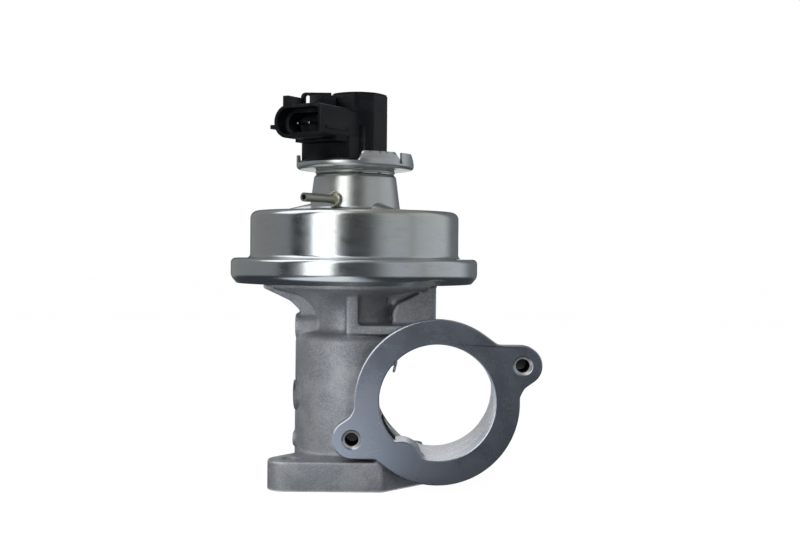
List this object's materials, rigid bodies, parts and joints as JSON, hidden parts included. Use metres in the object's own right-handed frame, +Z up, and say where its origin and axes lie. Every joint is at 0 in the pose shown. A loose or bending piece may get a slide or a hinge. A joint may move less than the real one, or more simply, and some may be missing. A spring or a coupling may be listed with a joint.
{
  "type": "egr valve",
  "caption": "Vacuum-operated exhaust gas recirculation valve: cast body with base flange and air ring, pressed diaphragm can, hose nipple and position sensor on top",
  "frame": {"origin": "on the valve stem's axis, in the mounting face of the base flange", "axes": "+Z up along the valve stem, +X towards the air ring, -Y the way the air ring's flange faces"},
  "size_m": [0.1395, 0.114, 0.1773],
  "materials": {
    "casting": "blasted die casting, matte, with machined faces",
    "plug_steel": "dull pressed steel",
    "seat_steel": "turned stainless steel",
    "stainless": "ground stainless steel",
    "bronze": "sintered bronze",
    "rubber": "matte black rubber",
    "gasket": "dark gasket fibre",
    "zinc_steel": "bright zinc plated steel with a faint yellow tint",
    "screw_steel": "zinc plated steel",
    "spring_steel": "oiled spring wire",
    "nipple_steel": "zinc plated tube with a brazed collar",
    "black_plastic": "satin black moulded plastic",
    "terminal_metal": "tinned brass",
    "ceramic": "fired ceramic strip"
  },
  "bodies": {
    "housing": {"valve_body": "casting", "core_plug": "plug_steel", "valve_seat": "seat_steel", "stem_guide": "bronze", "stem_seal": "rubber", "seal_cap": "zinc_steel", "shell_gasket": "gasket", "lower_shell": "zinc_steel", "shell_screws": "screw_steel", "diaphragm": "rubber", "return_spring": "spring_steel", "spring_seat": "zinc_steel", "upper_shell": "zinc_steel", "vacuum_nipple": "nipple_steel", "sensor_cup": "zinc_steel", "sensor_seal": "rubber", "sensor_housing": "black_plastic", "sensor_lid": "black_plastic", "terminals": "terminal_metal", "plunger_guide": "bronze", "plunger_spring": "spring_steel", "resistor_track": "ceramic"},
    "valve_rod": {"valve_stem": "stainless", "valve_head": "stainless", "diaphragm_plate": "zinc_steel", "spring_cup": "zinc_steel", "stem_nut": "screw_steel"},
    "plunger": {"sensor_plunger": "stainless", "wiper_contact": "terminal_metal"}
  },
  "joints": [
    {"name": "valve_lift", "type": "slide", "parent": "housing", "child": "valve_rod", "axis": [0, 0, 1], "range_m": [0, 0.0065], "stiffness_N_per_m": 6000, "springref_m": -0.01, "deforming": ["return_spring", "diaphragm", "plunger_spring"]},
    {"name": "plunger_slide", "type": "slide", "parent": "housing", "child": "plunger", "axis": [0, 0, 1], "range_m": [0, 0.0065]}
  ],
  "couplings": [
    {"joint": "plunger_slide", "follows": "valve_lift", "ratio": 1}
  ]
}
